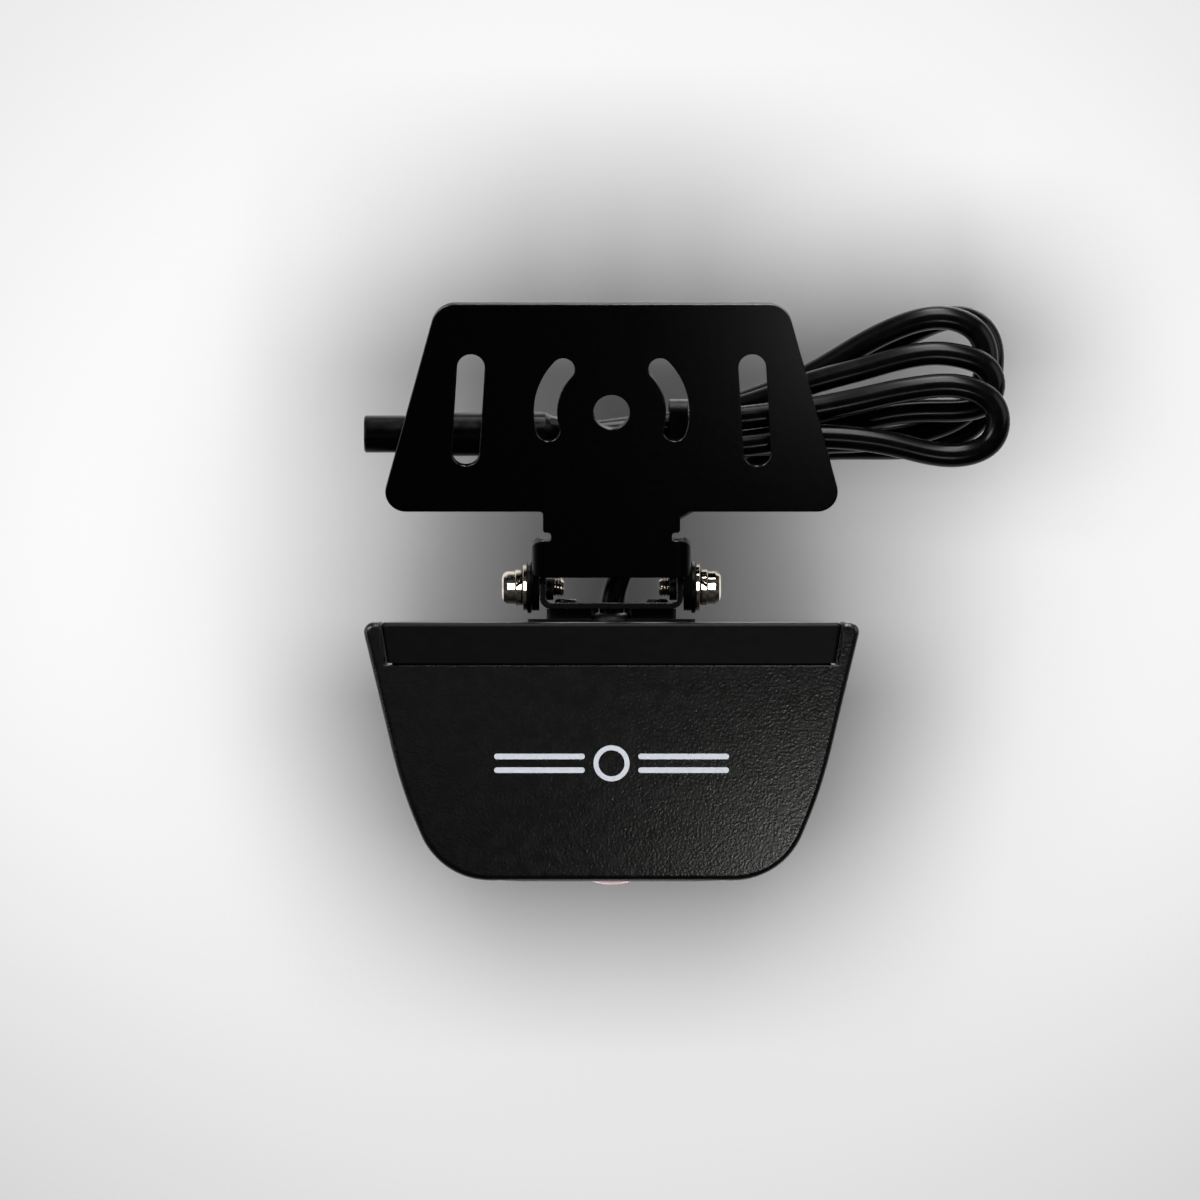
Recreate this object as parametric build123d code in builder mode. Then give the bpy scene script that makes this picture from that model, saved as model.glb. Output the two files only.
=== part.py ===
from build123d import *
import os
from math import sin, cos, radians

# Vehicle backup camera: slotted mounting plate with two ears, tilting U-bracket, camera
# body, coiled cable and connector.  Millimetres.  The plate stands upright with +Z up
# and its -Y face on y = 0; the origin is the centre of its round hole.  The camera hangs
# below on the pivot, lens end down, and the coiled cable lies on the plate's +Y side.

os.makedirs("parts", exist_ok=True)

# ---------------------------------------------------------------------------
# shared dimensions
# ---------------------------------------------------------------------------
# mounting plate
PLATE_T = 1.2
PLATE_TOP, PLATE_BOT = 18.1, -16.9
HALF_TOP, HALF_BOT = 27.9, 37.4      # half widths at the top and bottom edges
HOLE_D = 5.8
SLOT_W, SLOT_L = 4.4, 18.9
SLOT_X, SLOT_Z, SLOT_LEAN = 22.95, 0.3, 3.7
ARC_R, ARC_W = 10.6, 3.7             # arc slots round the hole
ARC_START, ARC_END = -43.0, 17.0     # +X arc slot, degrees from +X towards +Z
NECK_HALF, NECK_LOW = 11.05, -28.2
NOTCH_IN, NOTCH_TOP, NOTCH_BOT = 9.75, -20.5, -21.9
BEND_R = 2.4                         # outer bend radius of the ears
EAR_OUT = 12.9                       # outer face of the ears
EAR_IN = EAR_OUT - PLATE_T
BEND_X = EAR_OUT - BEND_R
EAR_R = 3.8                          # ear end radius about the pivot
EAR_ROUND = 2.1                      # rounding of the ears' upper outer corners

# pivot
PIV_Y, PIV_Z = 5.5, -31.8
PIV_HOLE_D = 3.15
TILT = 20.0                          # camera's angle to the plate

# hinge stack on the +X side: inner face of each piece, going outwards
FRICTION_X = EAR_OUT + 0.05
FLAT_X = FRICTION_X + 0.7
SPRING_X = FLAT_X + 0.7
HEAD_X = SPRING_X + 1.3

# U-bracket; heights are along the camera axis from the pivot
U_OUT, U_T, U_WIDE = 11.6, 1.0, 8.0
U_IN = U_OUT - U_T
U_END = 4.0
WEB_LOW, WEB_TOP = -3.5, -2.5
COLLAR_D, COLLAR_L = 4.2, 1.2
BRACKET_SCREW_X = 7.4

# camera body, in the camera frame
REAR = -5.65                         # rear face, below the pivot
LENGTH = 41.6
FRONT = REAR - LENGTH
Y_MIN, Y_MAX = -11.0, 13.0           # broad faces of the body
MID_Y = (Y_MIN + Y_MAX) / 2
WALL = 2.0
COVER_D = 6.6                        # depth of the rear cover
GASKET_T = 0.4
COVER_SEAT = REAR - COVER_D - GASKET_T
COVER_END_T = 2.5                    # end wall of the rear cover
COUNTERBORE = 2.2
BOSS_X, BOSS_Y = 32.0, 7.2           # housing screws, from the body's axis
PANEL_RECESS, ADHESIVE_T = 1.3, 0.2

# circuit boards, in the camera frame
SENSOR_Z, SENSOR_T = -30.0, 1.0      # lens-side face and thickness
STANDOFF_L = 7.8
MAIN_Z = SENSOR_Z + SENSOR_T + STANDOFF_L
MAIN_T = 1.2
MAIN_TOP = MAIN_Z + MAIN_T
STAND_X, STAND_Y = 10.8, 6.3         # standoffs, from the body's axis
POST_X = 23.0                        # housing posts under the main board
HOLDER_SCREW_X = 9.2

CABLE_R = 1.95

# ---------------------------------------------------------------------------
# frames
# ---------------------------------------------------------------------------
UP = Vector(0, sin(radians(TILT)), cos(radians(TILT)))       # camera front to rear
DEPTH = Vector(0, cos(radians(TILT)), -sin(radians(TILT)))   # across the camera body
SIDEWAYS = (1, 0, 0)
PIVOT = (0, PIV_Y, PIV_Z)

# camera frame at the pivot: local x = X, local y = DEPTH, local z = UP
CAM_XY = Plane(origin=PIVOT, x_dir=SIDEWAYS, z_dir=UP)
CAM_XZ = Plane(origin=PIVOT, x_dir=SIDEWAYS, z_dir=-DEPTH)
CAM_YZ = Plane(origin=PIVOT, x_dir=DEPTH, z_dir=SIDEWAYS)
CAM_AXIS = Axis(PIVOT, UP)
# coil frame: parallel to the camera frame, through the plate's hole
COIL = Plane(origin=(0, 0, 0), x_dir=SIDEWAYS, z_dir=UP)


def cam(x, y, z):
    """World point of a point in the camera frame."""
    return CAM_XY.from_local_coords(Vector(x, y, z))


def coil(x, up, depth):
    """World point of a point in the coil frame."""
    return COIL.from_local_coords(Vector(x, depth, up))


def centred(z):
    """Plane across the camera body at height z, centred on the lens axis."""
    return Plane(origin=cam(0, MID_Y, z), x_dir=SIDEWAYS, z_dir=UP)


LENS_XZ = CAM_XZ.offset(-MID_Y)
LENS_AXIS = Axis(cam(0, MID_Y, 0), UP)


# ---------------------------------------------------------------------------
# shared outlines and screws
# ---------------------------------------------------------------------------
def both_sides(half):
    """Points of a +X half outline, followed by its mirror image."""
    return [*half, *[(-x, y) for x, y in reversed(half)]]


def body_outline(stations):
    """Plan outline from (half width, distance from the rear face) stations."""
    return both_sides([(x, REAR - distance) for x, distance in stations])


def at_x(half):
    """Selector for the vertices at this distance either side of the centre line."""
    return lambda point: abs(abs(point.X) - half) < 0.01


def panel_size(gap):
    """Width, height and corner radius of the front panel, grown all round by gap."""
    return 38.0 + 2 * gap, 17.0 + 2 * gap, 5.8 + gap


def stepped_hollow(grow=0):
    """The two crossing rectangles of the rear cover's hollow, grown all round."""
    return [(w + 2 * grow, h + 2 * grow) for w, h in ((65.9, 5.5), (54.8, 17.1))]


# length is measured under the head; dome is the height of the head's rounding
PIVOT_SCREW = dict(head_r=2.7, head_h=2.1, shank_r=1.5, pitch=0.5, dome=0.9)
BRACKET_SCREW = dict(head_r=1.8, head_h=0.6, shank_r=1.0, pitch=0.4, dome=0.35)
HOUSING_SCREW = dict(head_r=2.25, head_h=1.7, shank_r=1.25, pitch=0.5, dome=0.6)
HOLDER_SCREW = dict(head_r=1.3, head_h=0.8, shank_r=0.8, pitch=0.35, dome=0.3)
BOARD_SCREW = dict(head_r=1.8, head_h=1.2, shank_r=1.0, pitch=0.4, dome=0.5)


def screw_profile(length, head_r, head_h, shank_r, pitch, dome):
    """Half section of a pan head screw as (radius, height), head top at height 0."""
    y = -head_h - 2 * pitch
    points = [(0, 0), (head_r - dome, 0), (head_r - dome * 0.35, -dome * 0.3),
              (head_r, -dome), (head_r, -head_h), (shank_r, -head_h), (shank_r, y)]
    while y - pitch > -head_h - length + 0.3:
        points += [(shank_r - 0.6 * pitch, y - pitch / 2), (shank_r, y - pitch)]
        y -= pitch
    return points + [(shank_r - 0.35, -head_h - length), (0, -head_h - length)]


def body_screws(places, seat, size, up=1, cross=None):
    """Screws along the camera axis, mirrored to -X.

    places: (x, y, length) of each; those beyond MID_Y are mirrored to the other row too.
    seat: height under the head; up: 1 for heads to the rear, -1 to the front.
    cross: arm length, width and depth of the recess.
    """
    top = seat + up * size["head_h"]
    with BuildPart() as piece:
        for x, y, length in places:
            with BuildSketch(CAM_XZ.offset(-y)):
                with BuildLine():
                    Polyline(*[(x + radius, top + up * height)
                               for radius, height in screw_profile(length, **size)],
                             close=True)
                make_face()
            revolve(axis=Axis(cam(x, y, 0), UP))
            if cross:
                arm, width, depth = cross
                with BuildSketch(CAM_XY.offset(top)):
                    with Locations((x, y)):
                        Rectangle(arm, width)
                        Rectangle(width, arm)
                extrude(amount=-depth, mode=Mode.SUBTRACT)
            if y > MID_Y:
                mirror(about=LENS_XZ)
        mirror(about=Plane.YZ)
    return piece.part


# ---------------------------------------------------------------------------
# mounting plate
# ---------------------------------------------------------------------------
def mounting_plate():
    half = [(HALF_TOP, PLATE_TOP), (HALF_BOT, PLATE_BOT), (NECK_HALF, PLATE_BOT),
            (NECK_HALF, NOTCH_TOP), (NOTCH_IN, NOTCH_TOP), (NOTCH_IN, NOTCH_BOT),
            (BEND_X, NOTCH_BOT), (BEND_X, NECK_LOW)]
    with BuildPart() as piece:
        # flat blank with its slots
        with BuildSketch(Plane.XZ) as blank:
            with BuildLine():
                Polyline(*both_sides(half), close=True)
            make_face()
            fillet(blank.vertices().filter_by(lambda p: p.Y > PLATE_TOP - 0.1), 4.0)
            fillet(blank.vertices().filter_by(at_x(HALF_BOT)), 3.3)
            fillet(blank.vertices().filter_by(at_x(NECK_HALF)), 0.5)
            fillet(blank.vertices().filter_by(at_x(NOTCH_IN)), 0.5)
            Circle(HOLE_D / 2, mode=Mode.SUBTRACT)
            for side in (-1, 1):
                with Locations((side * SLOT_X, SLOT_Z)):
                    SlotOverall(SLOT_L, SLOT_W, rotation=90 + side * SLOT_LEAN,
                                mode=Mode.SUBTRACT)
            for start in (ARC_START, 180 - ARC_END):
                SlotArc(CenterArc((0, 0), ARC_R, start, ARC_END - ARC_START), ARC_W,
                        mode=Mode.SUBTRACT)
        extrude(amount=-PLATE_T)
        # bends from the neck into the ears
        with BuildSketch(Plane.XY.offset(NECK_LOW)):
            with BuildLine():
                outer = CenterArc((BEND_X, BEND_R), BEND_R, -90, 90)
                Line(outer @ 1, (EAR_IN, BEND_R))
                inner = CenterArc((BEND_X, BEND_R), BEND_R - PLATE_T, 0, -90)
                Line(inner @ 1, outer @ 0)
            make_face()
            mirror(about=Plane.YZ)
        extrude(amount=NOTCH_BOT - NECK_LOW)
        # ears and pivot holes
        for x in (EAR_IN, -EAR_OUT):
            with BuildSketch(Plane.YZ.offset(x)):
                with BuildLine():
                    Line((BEND_R, NOTCH_BOT), (BEND_R, NECK_LOW))
                    CenterArc((PIV_Y, PIV_Z), EAR_R, 0, 360)
                make_hull()
            extrude(amount=PLATE_T)
        with BuildSketch(Plane.YZ):
            with Locations((PIV_Y, PIV_Z)):
                Circle(PIV_HOLE_D / 2)
        extrude(amount=20, both=True, mode=Mode.SUBTRACT)
        # rounded shoulders at the top of the ears
        round_x, round_z = EAR_OUT - EAR_ROUND, NOTCH_BOT - EAR_ROUND
        past = 0.3
        with BuildSketch(Plane.XZ.offset(1)):
            with BuildLine():
                shoulder = CenterArc((round_x, round_z), EAR_ROUND, 0, 90)
                Polyline(shoulder @ 1, (round_x, NOTCH_BOT + past),
                         (EAR_OUT + past, NOTCH_BOT + past),
                         (EAR_OUT + past, round_z), shoulder @ 0)
            make_face()
            mirror(about=Plane.YZ)
        extrude(amount=-14, mode=Mode.SUBTRACT)
    return piece.part


# ---------------------------------------------------------------------------
# hinge hardware, tilted with the camera
# ---------------------------------------------------------------------------
def washers(inner_x, outer_x, radius, hole_r, ease, ease_size):
    """A washer on each side; ease (chamfer or fillet) treats the outer rims."""
    with BuildPart() as piece:
        for x in (inner_x, -outer_x):
            with BuildSketch(CAM_YZ.offset(x)):
                Circle(radius)
                Circle(hole_r, mode=Mode.SUBTRACT)
            extrude(amount=outer_x - inner_x)
        ease(piece.edges().filter_by(GeomType.CIRCLE).filter_by(
            lambda e: e.radius > hole_r + 1), ease_size)
    return piece.part


def friction_washers():
    return washers(FRICTION_X, FLAT_X, radius=4.2, hole_r=1.55, ease=chamfer, ease_size=0.12)


def flat_washers():
    return washers(FLAT_X, SPRING_X, radius=3.8, hole_r=1.6, ease=fillet, ease_size=0.15)


def spring_washers():
    start, end = SPRING_X - 0.2, HEAD_X + 0.2
    with BuildPart() as piece:
        add(washers(SPRING_X, HEAD_X, radius=2.95, hole_r=1.6, ease=fillet, ease_size=0.3))
        # the slanting split of each washer
        with BuildSketch(CAM_XZ.offset(4)):
            for side in (1, -1):
                with BuildLine():
                    Polyline((side * start, 0.9), (side * start, 1.5),
                             (side * end, 0.2), (side * end, -0.4), close=True)
                make_face()
        extrude(amount=-4, mode=Mode.SUBTRACT)
    return piece.part


def pivot_screws():
    head_top = HEAD_X + PIVOT_SCREW["head_h"]
    with BuildPart() as piece:
        with BuildSketch(CAM_XZ):
            with BuildLine():
                Polyline(*[(head_top + height, radius) for radius, height in
                           screw_profile(7.95, **PIVOT_SCREW)], close=True)
            make_face()
        revolve(axis=Axis(PIVOT, SIDEWAYS))
        with BuildSketch(CAM_YZ.offset(head_top)):
            Rectangle(3.2, 0.75)
            Rectangle(0.75, 3.2)
        extrude(amount=-1.2, mode=Mode.SUBTRACT)
        mirror(about=Plane.YZ)
    return piece.part


def u_bracket():
    half = [(U_OUT, WEB_LOW), (U_OUT, U_END), (U_IN, U_END), (U_IN, WEB_TOP)]
    with BuildPart() as piece:
        with BuildSketch(CAM_XZ.offset(U_WIDE / 2)) as section:
            with BuildLine():
                Polyline(*both_sides(half), close=True)
            make_face()
            fillet(section.vertices().filter_by(lambda p: p.Y < WEB_LOW + 0.1), 1.8)
            fillet(section.vertices().filter_by(lambda p: abs(p.Y - WEB_TOP) < 0.01), 0.8)
        extrude(amount=-U_WIDE)
        # round the arm ends
        fillet(piece.edges().filter_by(Axis.X).group_by(CAM_AXIS)[-1], 3.95)
        # collars inside the arms
        for x in (U_IN - COLLAR_L, -U_IN):
            with BuildSketch(CAM_YZ.offset(x)):
                Circle(COLLAR_D / 2)
            extrude(amount=COLLAR_L)
        with BuildSketch(CAM_YZ):
            Circle(1.52)
        extrude(amount=20, both=True, mode=Mode.SUBTRACT)
        # cable and screw holes in the web
        with BuildSketch(CAM_XY.offset(WEB_LOW - 0.5)):
            Circle(2.7)
            with GridLocations(2 * BRACKET_SCREW_X, 0, 2, 1):
                Circle(1.15)
        extrude(amount=2.0, mode=Mode.SUBTRACT)
    return piece.part


def bracket_screws():
    return body_screws([(BRACKET_SCREW_X, 0, 6.0)], seat=WEB_TOP, size=BRACKET_SCREW,
                       cross=(1.8, 0.45, 0.4))


# ---------------------------------------------------------------------------
# camera body
# ---------------------------------------------------------------------------
KNEE_HALF, FRONT_HALF = 33.84, 27.56
# plan outlines: half width, distance from the rear face
BODY_PLAN = [(40.3, 0), (KNEE_HALF, 27.0), (FRONT_HALF, LENGTH)]
OPENING_PLAN = [(37.72, -1), (36.6, COVER_D + GASKET_T)]
COVER_PLAN = [(37.15, 0), (36.1, COVER_D)]
CAVITY_PLAN = [(34.4, 6), (34.4, 13), (32.8, 22), (30.5, 29), (28.0, 34),
               (24.3, 37.3), (17.5, 38.9)]


def front_housing():
    with BuildPart() as piece:
        with BuildSketch(CAM_XZ.offset(-Y_MIN)) as plan:
            with BuildLine():
                Polyline(*body_outline(BODY_PLAN), close=True)
            make_face()
            fillet(plan.vertices().filter_by(lambda p: p.Y > REAR - 1), 1.6)
            fillet(plan.vertices().filter_by(at_x(KNEE_HALF)), 75)
            fillet(plan.vertices().filter_by(at_x(FRONT_HALF)), 12.2)
        extrude(amount=-(Y_MAX - Y_MIN))
        fillet(piece.faces().filter_by(CAM_XZ).edges(), 1.0)
        # opening for the rear cover
        with BuildSketch(CAM_XZ.offset(-Y_MIN + 1)):
            with BuildLine():
                Polyline(*body_outline(OPENING_PLAN), close=True)
            make_face()
        extrude(amount=-(Y_MAX - Y_MIN + 2), mode=Mode.SUBTRACT)
        # cavity
        with BuildSketch(CAM_XZ.offset(-Y_MIN - WALL)):
            with BuildLine():
                Polyline(*body_outline(CAVITY_PLAN), close=True)
            make_face()
        extrude(amount=-(Y_MAX - Y_MIN - 2 * WALL), mode=Mode.SUBTRACT)
        # corner bosses for the housing screws and posts for the main board
        with BuildSketch(centred(COVER_SEAT)):
            with GridLocations(63.8, 14.6, 2, 2):
                Rectangle(6.0, 6.2)
        extrude(amount=-13)
        with BuildSketch(centred(MAIN_Z)):
            with GridLocations(2 * POST_X, 0, 2, 1):
                Circle(2.75)
        extrude(amount=-23.6)
        # screw holes
        with BuildSketch(centred(COVER_SEAT)):
            with GridLocations(2 * BOSS_X, 2 * BOSS_Y, 2, 2):
                Circle(1.27)
        extrude(amount=-12, mode=Mode.SUBTRACT)
        with BuildSketch(centred(MAIN_Z)):
            with GridLocations(2 * POST_X, 0, 2, 1):
                Circle(1.02)
        extrude(amount=-6.5, mode=Mode.SUBTRACT)
        # recess of the front panel and the lens opening
        with BuildSketch(centred(FRONT - 1)):
            RectangleRounded(*panel_size(0.2))
        extrude(amount=1 + PANEL_RECESS, mode=Mode.SUBTRACT)
        with BuildSketch(centred(FRONT - 1)):
            Circle(6.75)
        extrude(amount=6, mode=Mode.SUBTRACT)
    return piece.part


def rear_cover():
    gap = 0.3          # to the broad faces of the body
    lip_t = 1.2
    cable_y = -MID_Y   # cable and bracket, seen from the body's centre
    with BuildPart() as piece:
        with BuildSketch(CAM_XZ.offset(-Y_MIN - gap)) as plan:
            with BuildLine():
                Polyline(*body_outline(COVER_PLAN), close=True)
            make_face()
            fillet(plan.vertices().filter_by(lambda p: p.Y > REAR - 0.1), 0.6)
        extrude(amount=-(Y_MAX - Y_MIN - 2 * gap))
        fillet(piece.faces().filter_by(CAM_XZ).edges().filter_by(
            Axis.X).group_by(CAM_AXIS)[-1], 0.8)
        # raised pad that carries the U-bracket, on a thin wider flange
        with BuildSketch(CAM_XY.offset(REAR)):
            with Locations((0, 0.55)):
                RectangleRounded(21.0, 5.5, 0.8)
            Circle(3.9, mode=Mode.SUBTRACT)
        extrude(amount=WEB_LOW - REAR)
        with BuildSketch(CAM_XY.offset(REAR)):
            with Locations((0, 0.3)):
                RectangleRounded(27.2, 6.6, 1.2)
            Circle(3.9, mode=Mode.SUBTRACT)
        extrude(amount=0.5)
        # hollow inside and locating lip
        with BuildSketch(centred(REAR - COVER_END_T)):
            for width, height in stepped_hollow():
                Rectangle(width, height)
        extrude(amount=-6, mode=Mode.SUBTRACT)
        with BuildSketch(centred(REAR - COVER_D)):
            for width, height in stepped_hollow(lip_t):
                Rectangle(width, height)
            for width, height in stepped_hollow():
                Rectangle(width, height, mode=Mode.SUBTRACT)
        extrude(amount=-2.8)
        # cable hole, bracket screw holes, counterbored housing screw holes
        with BuildSketch(centred(1)):
            with Locations((0, cable_y)):
                Circle(3.0)
            with Locations((-BRACKET_SCREW_X, cable_y), (BRACKET_SCREW_X, cable_y)):
                Circle(1.02)
            with GridLocations(2 * BOSS_X, 2 * BOSS_Y, 2, 2):
                Circle(1.35)
        extrude(amount=-15, mode=Mode.SUBTRACT)
        with BuildSketch(centred(REAR)):
            with GridLocations(2 * BOSS_X, 2 * BOSS_Y, 2, 2):
                Circle(2.5)
        extrude(amount=-COUNTERBORE, mode=Mode.SUBTRACT)
    return piece.part


def rear_gasket():
    with BuildPart() as piece:
        with BuildSketch(centred(REAR - COVER_D)):
            RectangleRounded(70.8, 22.0, 1.5)
            for width, height in stepped_hollow(1.35):
                Rectangle(width, height, mode=Mode.SUBTRACT)
            with GridLocations(2 * BOSS_X, 2 * BOSS_Y, 2, 2):
                Circle(1.4, mode=Mode.SUBTRACT)
        extrude(amount=-GASKET_T)
    return piece.part


def housing_screws():
    return body_screws([(BOSS_X, MID_Y + BOSS_Y, 12.0)], seat=REAR - COUNTERBORE,
                       size=HOUSING_SCREW, cross=(2.5, 0.6, 0.9))


def panel_adhesive():
    with BuildPart() as piece:
        with BuildSketch(centred(FRONT + PANEL_RECESS)):
            RectangleRounded(*panel_size(-0.2))
            RectangleRounded(33.0, 14.2, 4.0, mode=Mode.SUBTRACT)
        extrude(amount=-ADHESIVE_T)
    return piece.part


def front_panel():
    with BuildPart() as piece:
        with BuildSketch(centred(FRONT + PANEL_RECESS - ADHESIVE_T)):
            RectangleRounded(*panel_size(0))
            Circle(6.85, mode=Mode.SUBTRACT)
        extrude(amount=-1.35)
        fillet(piece.faces().sort_by(CAM_AXIS)[0].outer_wire().edges(), 0.3)
    return piece.part


def face_mark():
    """Mark on the body's -y face: a ring between two pairs of lines."""
    line_x, line_z = 11.6, 1.1
    with BuildPart() as piece:
        with BuildSketch(CAM_XZ.offset(-Y_MIN)):
            with Locations((0, REAR - 22.7)):
                Circle(2.9)
                Circle(2.1, mode=Mode.SUBTRACT)
                with Locations((-line_x, line_z), (-line_x, -line_z),
                               (line_x, line_z), (line_x, -line_z)):
                    SlotOverall(14.6, 0.9)
        extrude(amount=0.03)
    return piece.part


# ---------------------------------------------------------------------------
# lens
# ---------------------------------------------------------------------------
FILTER_Z, FILTER_T = -34.1, 0.5
FILTER_TOP = FILTER_Z + FILTER_T
SPACER_Z, SPACER_L = -42.2, 2.7
SPACER_TOP = SPACER_Z + SPACER_L
DOME_SEAT = -45.2                    # rim of the front element
# half section of the barrel: radius, height in the camera frame
BARREL = [(5.94, -47.5), (6.6, -47.5), (6.6, -43.4), (7.5, -43.4), (7.5, -42.4),
          (6.0, -42.4), (6.0, FILTER_TOP), (4.65, FILTER_TOP), (4.65, FILTER_Z),
          (3.0, FILTER_Z), (3.0, -35.6), (4.0, -35.6), (4.0, SPACER_TOP),
          (4.6, SPACER_TOP), (4.6, DOME_SEAT), (5.94, DOME_SEAT)]


def lens_barrel():
    with BuildPart() as piece:
        with BuildSketch(LENS_XZ):
            with BuildLine():
                Polyline(*BARREL, close=True)
            make_face()
        revolve(axis=LENS_AXIS)
    return piece.part


def lens_front_element():
    with BuildPart() as piece:
        with BuildSketch(LENS_XZ):
            with BuildLine():
                dome = CenterArc((0, -35.85), 12.5, -90, 28.16)
                rim = Line(dome @ 1, (5.9, DOME_SEAT))
                hollow = CenterArc((0, -42.0), 5.0, -90, 50.0)
                Line(rim @ 1, hollow @ 1)
                Line(hollow @ 0, dome @ 0)
            make_face()
        revolve(axis=LENS_AXIS)
    return piece.part


def lens_inner_elements():
    """A flat-backed element ahead of the spacer and a double convex one behind it."""
    with BuildPart() as piece:
        with BuildSketch(LENS_XZ):
            with BuildLine():
                bulge = CenterArc((0, -37.4), 7.2, -90, 39.0)
                Polyline(bulge @ 1, ((bulge @ 1).X, SPACER_Z), (0, SPACER_Z), bulge @ 0)
            make_face()
            with BuildLine():
                front = CenterArc((0, -31.3), 8.0, -90, 29.0)
                back = CenterArc((0, -44.1), 8.0, 90, -29.0)
                Line(front @ 1, back @ 1)
                Line(back @ 0, front @ 0)
            make_face()
        revolve(axis=LENS_AXIS)
    return piece.part


def lens_spacer():
    with BuildPart() as piece:
        with BuildSketch(centred(SPACER_Z)):
            Circle(4.55)
            Circle(3.5, mode=Mode.SUBTRACT)
        extrude(amount=SPACER_L)
    return piece.part


def ir_filter():
    with BuildPart() as piece:
        with BuildSketch(centred(FILTER_Z)):
            Circle(4.6)
        extrude(amount=FILTER_T)
    return piece.part


def lens_o_ring():
    with BuildPart() as piece:
        with BuildSketch(LENS_XZ):
            with Locations((7.18, -43.975)):
                Circle(0.55)
        revolve(axis=LENS_AXIS)
    return piece.part


def lens_holder():
    base_t = 3.0
    with BuildPart() as piece:
        # base with a screw lug on each side, then the tube
        with BuildSketch(centred(SENSOR_Z)):
            RectangleRounded(15.0, 14.4, 1.0)
            with GridLocations(2 * HOLDER_SCREW_X, 0, 2, 1):
                Circle(2.0)
            Rectangle(2 * HOLDER_SCREW_X, 4.0)
        extrude(amount=-base_t)
        with BuildSketch(centred(SENSOR_Z - base_t)):
            Circle(7.2)
        extrude(amount=-8.0)
        # pocket over the sensor, then barrel bore and screw holes
        with BuildSketch(centred(SENSOR_Z)):
            Rectangle(11.0, 10.4)
        extrude(amount=-2.2, mode=Mode.SUBTRACT)
        with BuildSketch(centred(SENSOR_Z)):
            Circle(6.02)
            with GridLocations(2 * HOLDER_SCREW_X, 0, 2, 1):
                Circle(0.82)
        extrude(amount=-12.0, mode=Mode.SUBTRACT)
    return piece.part


# ---------------------------------------------------------------------------
# electronics
# ---------------------------------------------------------------------------
HEADER_H = 6.0
WIRE_PLUG_Z, WIRE_PLUG_L = -18.5, 5.3
WIRE_START = WIRE_PLUG_Z + WIRE_PLUG_L
WIRE_END = -11.5
# each wire's x at the plug and at the cable
WIRES = [(-3.3, -1.3), (-1.1, -0.45), (1.1, 0.45), (3.3, 1.3)]


def image_sensor():
    with BuildPart() as piece:
        with BuildSketch(centred(SENSOR_Z)):
            Rectangle(8.4, 7.6)
        extrude(amount=-1.0)
        chamfer(piece.faces().sort_by(CAM_AXIS)[0].edges(), 0.2)
    return piece.part


def sensor_board():
    with BuildPart() as piece:
        with BuildSketch(centred(SENSOR_Z)):
            RectangleRounded(26.0, 17.0, 1.5)
            with GridLocations(2 * STAND_X, 2 * STAND_Y, 2, 2):
                Circle(1.1, mode=Mode.SUBTRACT)
            with GridLocations(2 * HOLDER_SCREW_X, 0, 2, 1):
                Circle(0.9, mode=Mode.SUBTRACT)
        extrude(amount=SENSOR_T)
    return piece.part


def holder_screws():
    return body_screws([(HOLDER_SCREW_X, MID_Y, 3.4)], seat=SENSOR_Z + SENSOR_T,
                       size=HOLDER_SCREW)


def board_standoffs():
    with BuildPart() as piece:
        with BuildSketch(centred(SENSOR_Z + SENSOR_T)):
            with GridLocations(2 * STAND_X, 2 * STAND_Y, 2, 2):
                RegularPolygon(1.9, 6)
                Circle(1.02, mode=Mode.SUBTRACT)
        extrude(amount=STANDOFF_L)
    return piece.part


def sensor_board_screws():
    return body_screws([(STAND_X, MID_Y + STAND_Y, 4.0)], seat=SENSOR_Z,
                       size=BOARD_SCREW, up=-1)


def main_board():
    with BuildPart() as piece:
        with BuildSketch(centred(MAIN_Z)):
            RectangleRounded(54.0, 16.8, 1.5)
            with GridLocations(2 * STAND_X, 2 * STAND_Y, 2, 2):
                Circle(1.1, mode=Mode.SUBTRACT)
            with GridLocations(2 * POST_X, 0, 2, 1):
                Circle(1.1, mode=Mode.SUBTRACT)
        extrude(amount=MAIN_T)
    return piece.part


def main_board_screws():
    return body_screws([(STAND_X, MID_Y + STAND_Y, 4.2), (POST_X, MID_Y, 5.5)],
                       seat=MAIN_TOP, size=BOARD_SCREW)


def board_chips():
    """Two flat square parts and two tall round ones on the main board."""
    with BuildPart() as piece:
        with BuildSketch(centred(MAIN_TOP)):
            with Locations((-17.0, 3.2)):
                Rectangle(7.6, 7.6)
            with Locations((17.0, -3.0)):
                Rectangle(6.4, 6.4)
        extrude(amount=1.1)
        with BuildSketch(centred(MAIN_TOP)):
            with Locations((17.0, 5.2), (-17.4, -5.4)):
                Circle(2.2)
        extrude(amount=5.0)
    return piece.part


def board_header():
    with BuildPart() as piece:
        with BuildSketch(centred(MAIN_TOP)):
            Rectangle(11.0, 5.6)
        extrude(amount=HEADER_H)
        with BuildSketch(centred(MAIN_TOP + HEADER_H)):
            Rectangle(9.4, 4.0)
        extrude(amount=-4.6, mode=Mode.SUBTRACT)
    return piece.part


def wire_plug():
    with BuildPart() as piece:
        with BuildSketch(centred(WIRE_PLUG_Z)):
            Rectangle(9.2, 3.8)
        extrude(amount=WIRE_PLUG_L)
        with BuildSketch(centred(WIRE_PLUG_Z)):
            with Locations(*[(plug_x, 0) for plug_x, _ in WIRES]):
                Circle(0.35)
        extrude(amount=3, mode=Mode.SUBTRACT)
    return piece.part


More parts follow.
